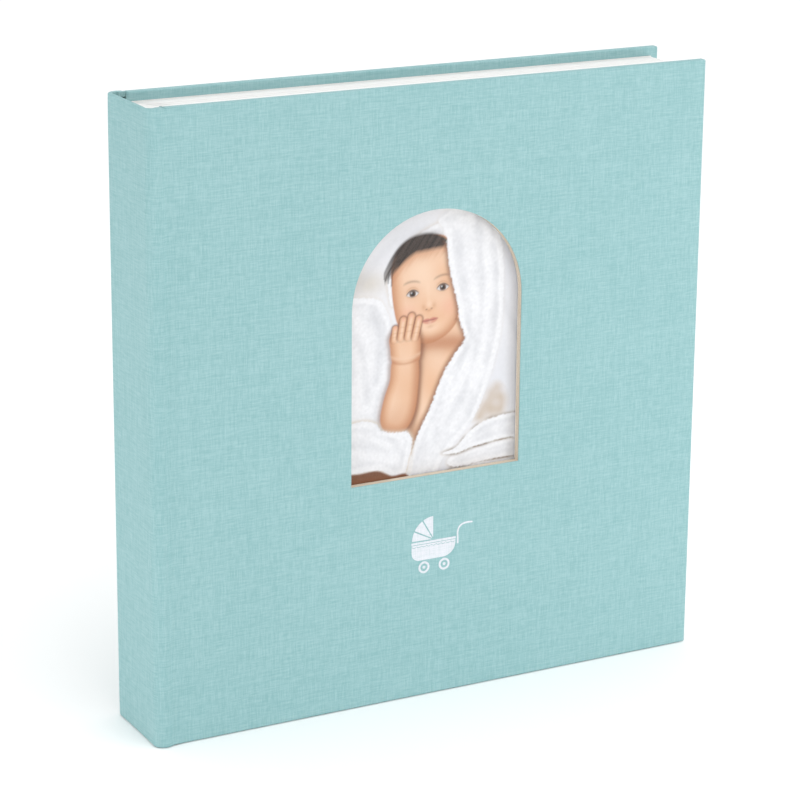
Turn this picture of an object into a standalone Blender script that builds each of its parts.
"""A cloth-covered, case-bound baby photo album with an arched picture window in its front cover.

It stands upright on its tail edges. +Z is up, the front cover faces -Y and the spine is on the -X side.
The origin is at the middle of the footprint, on the ground. Sizes are in metres.
"""

import bmesh
import bpy
from math import cos, pi, radians, sin

mm = 0.001

# Driving dimensions
ALBUM_WIDTH = 302 * mm          # spine to fore-edge
ALBUM_HEIGHT = 310 * mm         # tail to head
COVER_SPREAD = 48 * mm          # from the front cover's face to the back cover's
SPINE_SPREAD = 51 * mm          # the shoulders stand proud of the covers
CLOTH = 0.4 * mm
GLUE_LINE = 0.2 * mm            # between pieces that are glued face to face
BOARD = 3.2 * mm
SPINE_CARD = 1.0 * mm
PAPER = 0.3 * mm
TURN_IN = 16 * mm               # how far the cloth is folded over the inside of a board
PASTEDOWN_MARGIN = 4.5 * mm     # cloth left showing round the pastedown
SHOULDER_RADIUS = 5 * mm
COVER_START = 8.9 * mm          # cover's spine-side edge, measured from the spine's outer face
CLOTH_FOLD = 0.8 * mm           # how round the cloth's folds are

WINDOW_WIDTH = 93.8 * mm
WINDOW_BOTTOM = 115.3 * mm
WINDOW_TOP = 249 * mm
ARCH_STEPS = 36

PRINT_WIDTH = 102 * mm
PRINT_HEIGHT = 152 * mm
POCKET_RIM = 8 * mm
POCKET_OPEN_DROP = 4 * mm       # how far the print's head stands out of its pocket
THUMB_RADIUS = 11 * mm

LEAF_COUNT = 30
LEAF = 0.85 * mm
LEAF_HINGE = 0.45 * mm          # thinner where the leaf is scored to bend
SCORED_WIDTH = 12 * mm
HEAD_SQUARE = 5 * mm            # how far the covers stand past the leaves
FORE_SQUARE = 4.5 * mm
FIRST_HINGE = 11 * mm           # flyleaf's hinge line, from the spine's outer face
HINGE_STAGGER = 0.75 * mm       # each next hinge line lies this much further in
HINGE_CLEARANCE = 0.4 * mm
BLOCK_START = 3.6 * mm

# Worked out from them
SPINE_X = -ALBUM_WIDTH / 2
FORE_X = ALBUM_WIDTH / 2
FACE_Y = COVER_SPREAD / 2
SHOULDER_Y = SPINE_SPREAD / 2
COVER_X = SPINE_X + COVER_START
BOARD_OUT = FACE_Y - CLOTH - GLUE_LINE
BOARD_IN = BOARD_OUT - BOARD
FOLD_OUT = BOARD_IN - GLUE_LINE
FOLD_IN = FOLD_OUT - CLOTH
PASTE_OUT = FOLD_IN - GLUE_LINE
PASTE_IN = PASTE_OUT - PAPER
EDGE_SKIN = CLOTH + GLUE_LINE
HINGE_X = SPINE_X + 4.3 * mm
HINGE_Y = FACE_Y + 0.5 * mm
POCKET_OUT = PASTE_IN - GLUE_LINE
SPACER = 0.5 * mm
PRINT_SHEET = 0.3 * mm
POCKET_CARD = 0.4 * mm
POCKET_IN = POCKET_OUT - SPACER
CARD_OUT = POCKET_IN - GLUE_LINE
CARD_IN = CARD_OUT - POCKET_CARD
BLOCK_FRONT = -CARD_IN + 0.35 * mm
BLOCK_BACK = PASTE_IN - 0.35 * mm
SHEET_COUNT = LEAF_COUNT + 2
PITCH = (BLOCK_BACK - BLOCK_FRONT) / SHEET_COUNT
LEAF_BOTTOM = HEAD_SQUARE
LEAF_TOP = ALBUM_HEIGHT - HEAD_SQUARE
LEAF_END = FORE_X - FORE_SQUARE
PRINT_BOTTOM = (WINDOW_BOTTOM + WINDOW_TOP - PRINT_HEIGHT) / 2

CLOTH_TEAL = (0.38, 0.63, 0.64)
BOARD_GREY = (0.52, 0.46, 0.36)
PAPER_WHITE = (0.92, 0.92, 0.90)
CARD_WHITE = (0.86, 0.86, 0.83)
GAUZE_CREAM = (0.80, 0.76, 0.66)
PRINT_GREY = (0.72, 0.70, 0.68)
INK_WHITE = (0.93, 0.95, 0.95)


def clear_scene():
    for old in list(bpy.data.objects):
        bpy.data.objects.remove(old)


def material(name, colour, roughness):
    finish = bpy.data.materials.new(name)
    finish.use_nodes = True
    shader = finish.node_tree.nodes["Principled BSDF"]
    shader.inputs["Base Color"].default_value = (*colour, 1)
    shader.inputs["Roughness"].default_value = roughness
    shader.inputs["Metallic"].default_value = 0
    return finish


def add_object(name, mesh, colour=None, roughness=0.9, origin=(0, 0, 0)):
    """Places a mesh made in world coordinates, with its origin moved to the given point."""
    for corner in mesh.verts:
        corner.co.x -= origin[0]
        corner.co.y -= origin[1]
        corner.co.z -= origin[2]
    bmesh.ops.recalc_face_normals(mesh, faces=mesh.faces)
    data = bpy.data.meshes.new(name)
    mesh.to_mesh(data)
    mesh.free()
    piece = bpy.data.objects.new(name, data)
    piece.location = origin
    bpy.context.collection.objects.link(piece)
    if colour:
        data.materials.append(material(name, colour, roughness))
    return piece


def block_mesh(low, high):
    """A box between two corners."""
    mesh = bmesh.new()
    bmesh.ops.create_cube(mesh, size=1)
    for corner in mesh.verts:
        for axis in range(3):
            middle = (low[axis] + high[axis]) / 2
            corner.co[axis] = middle + corner.co[axis] * (high[axis] - low[axis])
    return mesh


def prism_mesh(outline, low, high, along="z"):
    """An outline pushed from low to high: (x, y) points along z, or (x, z) points along y."""
    mesh = bmesh.new()
    if along == "z":
        corners = [mesh.verts.new((a, b, low)) for a, b in outline]
        push = (0, 0, high - low)
    else:
        corners = [mesh.verts.new((a, low, b)) for a, b in outline]
        push = (0, high - low, 0)
    face = mesh.faces.new(corners)
    pushed = bmesh.ops.extrude_face_region(mesh, geom=[face])["geom"]
    moved = [item for item in pushed if isinstance(item, bmesh.types.BMVert)]
    bmesh.ops.translate(mesh, verts=moved, vec=push)
    return mesh


def cutter(name, mesh):
    tool = add_object(name, mesh)
    tool.hide_render = True
    tool.display_type = "WIRE"
    return tool


def combine(piece, tool, operation="DIFFERENCE"):
    """Cuts with or joins on another object, which then drops out of the model."""
    step = piece.modifiers.new(tool.name, "BOOLEAN")
    step.operation = operation
    step.solver = "EXACT"
    step.object = tool
    tool.hide_render = True
    tool.display_type = "WIRE"


def round_folds(piece):
    fold = piece.modifiers.new("cloth folds", "BEVEL")
    fold.width = CLOTH_FOLD
    fold.segments = 3
    fold.limit_method = "ANGLE"
    fold.angle_limit = radians(60)


def arch_outline(grow=0.0):
    """The window: straight sides under a half circle, grown outwards by grow."""
    radius = WINDOW_WIDTH / 2 + grow
    spring = WINDOW_TOP - WINDOW_WIDTH / 2
    outline = [(-radius, WINDOW_BOTTOM - grow), (radius, WINDOW_BOTTOM - grow)]
    for step in range(ARCH_STEPS + 1):
        turn = pi * step / ARCH_STEPS
        outline.append((radius * cos(turn), spring + radius * sin(turn)))
    return outline


def cut_window(piece, near, far, grow=0.0):
    tool = cutter(piece.name + " window cut", prism_mesh(arch_outline(grow), near, far, along="y"))
    combine(piece, tool)


def span(side, near, far):
    """The two y values of a layer, in rising order, on the front (-1) or the back (1) of the album."""
    return sorted((side * near, side * far))


# The case: boards, cloth and papers

def make_board(side, name):
    near, far = span(side, BOARD_IN, BOARD_OUT)
    low = (COVER_X + GLUE_LINE, near, EDGE_SKIN)
    high = (FORE_X - EDGE_SKIN, far, ALBUM_HEIGHT - EDGE_SKIN)
    board = add_object(name, block_mesh(low, high), BOARD_GREY, 0.95)
    if side < 0:
        cut_window(board, near - mm, far + mm)
    return board


def make_cover_cloth(side, name):
    """One sheet over the outside of the board, folded round three edges and turned in."""
    near, far = span(side, FOLD_IN, FACE_Y)
    cloth = add_object(name, block_mesh((COVER_X, near, 0), (FORE_X, far, ALBUM_HEIGHT)), CLOTH_TEAL, 0.9)
    round_folds(cloth)
    near, far = span(side, FOLD_OUT, FACE_Y - CLOTH)
    pocket = block_mesh((COVER_X - 5 * mm, near, CLOTH), (FORE_X - CLOTH, far, ALBUM_HEIGHT - CLOTH))
    combine(cloth, cutter(name + " board space", pocket))
    near, far = span(side, FOLD_IN - mm, FOLD_OUT + CLOTH / 2)
    bare = block_mesh((COVER_X - 5 * mm, near, TURN_IN), (FORE_X - TURN_IN, far, ALBUM_HEIGHT - TURN_IN))
    combine(cloth, cutter(name + " inside", bare))
    if side < 0:
        cut_window(cloth, -FACE_Y - mm, -FACE_Y + 2 * CLOTH)
    return cloth


def make_infill(side, name):
    """Levels the inside of the board with the turned-in cloth."""
    near, far = span(side, FOLD_IN, FOLD_OUT)
    low = (COVER_X + GLUE_LINE, near, TURN_IN + GLUE_LINE)
    high = (FORE_X - TURN_IN - GLUE_LINE, far, ALBUM_HEIGHT - TURN_IN - GLUE_LINE)
    card = add_object(name, block_mesh(low, high), CARD_WHITE, 0.9)
    if side < 0:
        cut_window(card, near - mm, far + mm, grow=0.5 * mm)
    return card


def make_pastedown(side, name):
    near, far = span(side, PASTE_IN, PASTE_OUT)
    low = (COVER_X + mm, near, PASTEDOWN_MARGIN)
    high = (FORE_X - PASTEDOWN_MARGIN, far, ALBUM_HEIGHT - PASTEDOWN_MARGIN)
    sheet = add_object(name, block_mesh(low, high), PAPER_WHITE, 0.85)
    if side < 0:
        cut_window(sheet, near - mm, far + mm, grow=0.5 * mm)
    return sheet


def make_joint_cloth(side, name):
    """The free strip of cloth between the shoulder and the board, on which the cover swings."""
    start = (SPINE_X + 6.2 * mm, SHOULDER_Y - 0.2 * mm)
    end = (COVER_X - 0.3 * mm, FACE_Y + 0.15 * mm)
    outline = [start, end, (end[0], end[1] - CLOTH), (start[0], start[1] - CLOTH)]
    outline = [(x, side * y) for x, y in outline]
    return add_object(
        name, prism_mesh(outline, 0, ALBUM_HEIGHT), CLOTH_TEAL, 0.9, origin=(HINGE_X, side * HINGE_Y, 0)
    )


def shoulder_line(inset):
    """Half of the spine cloth's run, from the flat back round the shoulder, inset by a distance."""
    radius = SHOULDER_RADIUS - inset
    centre = (SPINE_X + SHOULDER_RADIUS, SHOULDER_Y - SHOULDER_RADIUS)
    steps = 10
    line = []
    for step in range(steps + 1):
        turn = pi - (pi / 2) * step / steps
        line.append((centre[0] + radius * cos(turn), centre[1] + radius * sin(turn)))
    line.append((SPINE_X + 5.9 * mm, SHOULDER_Y - inset))
    return line


def make_spine_cloth():
    """The back and both shoulders in one sheet, folded over the spine board at head and tail."""
    outer = shoulder_line(0)
    inner = shoulder_line(CLOTH)
    outline = [(x, -y) for x, y in reversed(outer)] + outer
    outline += list(reversed(inner)) + [(x, -y) for x, y in inner]
    cloth = add_object("spine_cloth", prism_mesh(outline, 0, ALBUM_HEIGHT), CLOTH_TEAL, 0.9)
    reach = SHOULDER_Y - SHOULDER_RADIUS - 0.5 * mm
    depth = 2 * EDGE_SKIN + SPINE_CARD
    for label, low, high in (("tail", 0, TURN_IN), ("head", ALBUM_HEIGHT - TURN_IN, ALBUM_HEIGHT)):
        inside = (low + CLOTH, high + mm) if label == "tail" else (low - mm, high - CLOTH)
        fold = add_object(
            label + " fold", block_mesh((SPINE_X + CLOTH / 2, -reach, low), (SPINE_X + depth, reach, high))
        )
        slot = block_mesh(
            (SPINE_X + CLOTH / 4, -reach - mm, inside[0]), (SPINE_X + depth - CLOTH, reach + mm, inside[1])
        )
        combine(fold, cutter(label + " fold slot", slot))
        combine(cloth, fold, "UNION")
    cloth.data.set_sharp_from_angle(angle=radians(40))
    return cloth


def make_spine_board():
    reach = SHOULDER_Y - SHOULDER_RADIUS - 0.2 * mm
    low = (SPINE_X + EDGE_SKIN, -reach, EDGE_SKIN)
    high = (SPINE_X + EDGE_SKIN + SPINE_CARD, reach, ALBUM_HEIGHT - EDGE_SKIN)
    return add_object("spine_board", block_mesh(low, high), BOARD_GREY, 0.95)


# The window's picture and its pocket

def make_pocket_spacer():
    """A U of thin card that holds the pocket off the pastedown and guides the print."""
    slip = 0.3 * mm
    inner = PRINT_WIDTH / 2 + slip
    outer = inner + POCKET_RIM
    floor = PRINT_BOTTOM - slip
    rim_top = PRINT_BOTTOM + PRINT_HEIGHT - POCKET_OPEN_DROP
    outline = [
        (-outer, floor - POCKET_RIM),
        (outer, floor - POCKET_RIM),
        (outer, rim_top),
        (inner, rim_top),
        (inner, floor),
        (-inner, floor),
        (-inner, rim_top),
        (-outer, rim_top),
    ]
    near, far = span(-1, POCKET_IN, POCKET_OUT)
    return add_object("photo_pocket_spacer", prism_mesh(outline, near, far, along="y"), CARD_WHITE, 0.9)


def make_pocket_card():
    """The pocket's back, with a thumb notch in its open head edge."""
    outer = PRINT_WIDTH / 2 + 0.3 * mm + POCKET_RIM
    floor = PRINT_BOTTOM - 0.3 * mm - POCKET_RIM
    rim_top = PRINT_BOTTOM + PRINT_HEIGHT - POCKET_OPEN_DROP
    outline = [(-outer, floor), (outer, floor), (outer, rim_top)]
    notch_steps = 16
    for step in range(notch_steps + 1):
        turn = -pi * step / notch_steps
        outline.append((THUMB_RADIUS * cos(turn), rim_top + THUMB_RADIUS * sin(turn)))
    outline.append((-outer, rim_top))
    near, far = span(-1, CARD_IN, CARD_OUT)
    return add_object("photo_pocket_card", prism_mesh(outline, near, far, along="y"), CARD_WHITE, 0.9)


def make_print():
    near = -POCKET_OUT + 0.1 * mm
    low = (-PRINT_WIDTH / 2, near, PRINT_BOTTOM)
    high = (PRINT_WIDTH / 2, near + PRINT_SHEET, PRINT_BOTTOM + PRINT_HEIGHT)
    return add_object("photo_print", block_mesh(low, high), PRINT_GREY, 0.35)


# The pram printed under the window

PRAM_INK = 0.15 * mm
PRAM_LIFT = 0.05 * mm
PRAM_HUB = (-1.0 * mm, 81.3 * mm)       # where the hood's ribs meet, x and z
HOOD_RADIUS = 12.2 * mm
TUB_HALF = 12.4 * mm
TUB_DEPTH = 10.3 * mm
WHEEL_RADIUS = 3.1 * mm
WHEEL_SPREAD = 5.7 * mm
WHEEL_HEIGHT = 67.8 * mm
HANDLE_WIDTH = 0.9 * mm


def disc_outline(centre, radius, first, last, steps):
    points = []
    for step in range(steps + 1):
        turn = first + (last - first) * step / steps
        points.append((centre[0] + radius * cos(turn), centre[1] + radius * sin(turn)))
    return points


def bar_outline(start, end, width):
    run = ((end[0] - start[0]) ** 2 + (end[1] - start[1]) ** 2) ** 0.5
    side = ((start[1] - end[1]) / run * width / 2, (end[0] - start[0]) / run * width / 2)
    return [
        (start[0] + side[0], start[1] + side[1]),
        (start[0] - side[0], start[1] - side[1]),
        (end[0] - side[0], end[1] - side[1]),
        (end[0] + side[0], end[1] + side[1]),
    ]


def make_pram():
    """The pram's plain silhouette: hood, tub, two wheels and a handle, all one thin layer of ink."""
    hub_x, hub_z = PRAM_HUB
    near = -FACE_Y - PRAM_LIFT - PRAM_INK
    far = -FACE_Y - PRAM_LIFT
    hood = [PRAM_HUB] + disc_outline(PRAM_HUB, HOOD_RADIUS, pi / 2, pi, 14)
    tub = disc_outline((hub_x, hub_z + 0.1 * mm), 1, pi, 2 * pi, 20)
    tub = [(hub_x + (x - hub_x) * TUB_HALF, hub_z + 0.1 * mm + (z - hub_z - 0.1 * mm) * TUB_DEPTH) for x, z in tub]
    shapes = {"hood": hood, "tub": tub}
    for label, shift in (("left", -WHEEL_SPREAD), ("right", WHEEL_SPREAD)):
        centre = (hub_x + 0.4 * mm + shift, WHEEL_HEIGHT)
        shapes[label + " wheel"] = disc_outline(centre, WHEEL_RADIUS, 0, 2 * pi * 19 / 20, 19)
        shapes[label + " axle"] = bar_outline(centre, (centre[0] - shift * 0.1, hub_z - TUB_DEPTH + 2 * mm), mm)
    corner = (hub_x + TUB_HALF + 1.2 * mm, hub_z + 2.6 * mm)
    grip = (corner[0] + 9 * mm, corner[1] + 3.2 * mm)
    shapes["handle"] = bar_outline((corner[0] - 2.6 * mm, hub_z - 3 * mm), corner, HANDLE_WIDTH)
    shapes["grip"] = bar_outline((corner[0] - 0.5 * mm, corner[1] - 0.3 * mm), grip, HANDLE_WIDTH)
    pram = None
    for label, outline in shapes.items():
        if pram is None:
            pram = add_object("pram_print", prism_mesh(outline, near, far, along="y"), INK_WHITE, 0.6)
            continue
        extra = add_object("pram " + label, prism_mesh(outline, near, far, along="y"))
        combine(pram, extra, "UNION")
    return pram


# The block of leaves

def sheet_middle(index):
    """y of sheet 0, the front flyleaf, to sheet SHEET_COUNT - 1, the back flyleaf."""
    return BLOCK_FRONT + (index + 0.5) * PITCH


def sheet_hinge(index):
    return SPINE_X + FIRST_HINGE + HINGE_STAGGER * min(index, SHEET_COUNT - 1 - index)


def make_leaf(index, name):
    hinge = sheet_hinge(index)
    middle = sheet_middle(index)
    thin = LEAF_HINGE / 2
    full = LEAF / 2
    bend = hinge + SCORED_WIDTH
    outline = [
        (hinge, middle - thin),
        (bend, middle - thin),
        (bend + 2 * mm, middle - full),
        (LEAF_END, middle - full),
        (LEAF_END, middle + full),
        (bend + 2 * mm, middle + full),
        (bend, middle + thin),
        (hinge, middle + thin),
    ]
    mesh = prism_mesh(outline, LEAF_BOTTOM, LEAF_TOP)
    return add_object(name, mesh, PAPER_WHITE, 0.85, origin=(hinge, middle, 0))


def make_leaves():
    make_leaf(0, "front_flyleaf")
    for number in range(1, LEAF_COUNT + 1):
        make_leaf(number, f"leaf_{number:02d}")
    make_leaf(SHEET_COUNT - 1, "back_flyleaf")


def make_guard_block():
    """The leaves' bound edges and guards, glued into one block that is stepped along the hinge lines."""
    outline = [(SPINE_X + BLOCK_START, BLOCK_FRONT)]
    for index in range(SHEET_COUNT):
        face = sheet_hinge(index) - HINGE_CLEARANCE
        outline.append((face, BLOCK_FRONT + index * PITCH))
        outline.append((face, BLOCK_FRONT + (index + 1) * PITCH))
    outline.append((SPINE_X + BLOCK_START, BLOCK_BACK))
    return add_object("glued_guard_block", prism_mesh(outline, LEAF_BOTTOM, LEAF_TOP), PAPER_WHITE, 0.9)


def make_spine_linings():
    """Gauze on the glued block, and a strip of paper over it, both inside the hollow back."""
    top = ALBUM_HEIGHT - 2 * TURN_IN
    front = BLOCK_FRONT + 0.3 * mm
    back = BLOCK_BACK - 0.3 * mm
    gauze = block_mesh(
        (SPINE_X + BLOCK_START - 0.5 * mm, front, 2 * TURN_IN), (SPINE_X + BLOCK_START - 0.2 * mm, back, top)
    )
    add_object("spine_gauze", gauze, GAUZE_CREAM, 0.95)
    paper = block_mesh(
        (SPINE_X + BLOCK_START - mm, front, 2 * TURN_IN), (SPINE_X + BLOCK_START - 0.7 * mm, back, top)
    )
    add_object("spine_lining_paper", paper, BOARD_GREY, 0.95)


def main():
    clear_scene()
    for side, label in ((-1, "front"), (1, "back")):
        make_board(side, label + "_board")
        make_cover_cloth(side, label + "_cover_cloth")
        make_infill(side, label + "_infill_card")
        make_pastedown(side, label + "_pastedown")
        make_joint_cloth(side, label + "_joint_cloth")
    make_spine_board()
    make_spine_cloth()
    make_pocket_spacer()
    make_pocket_card()
    make_print()
    make_pram()
    make_guard_block()
    make_spine_linings()
    make_leaves()


main()
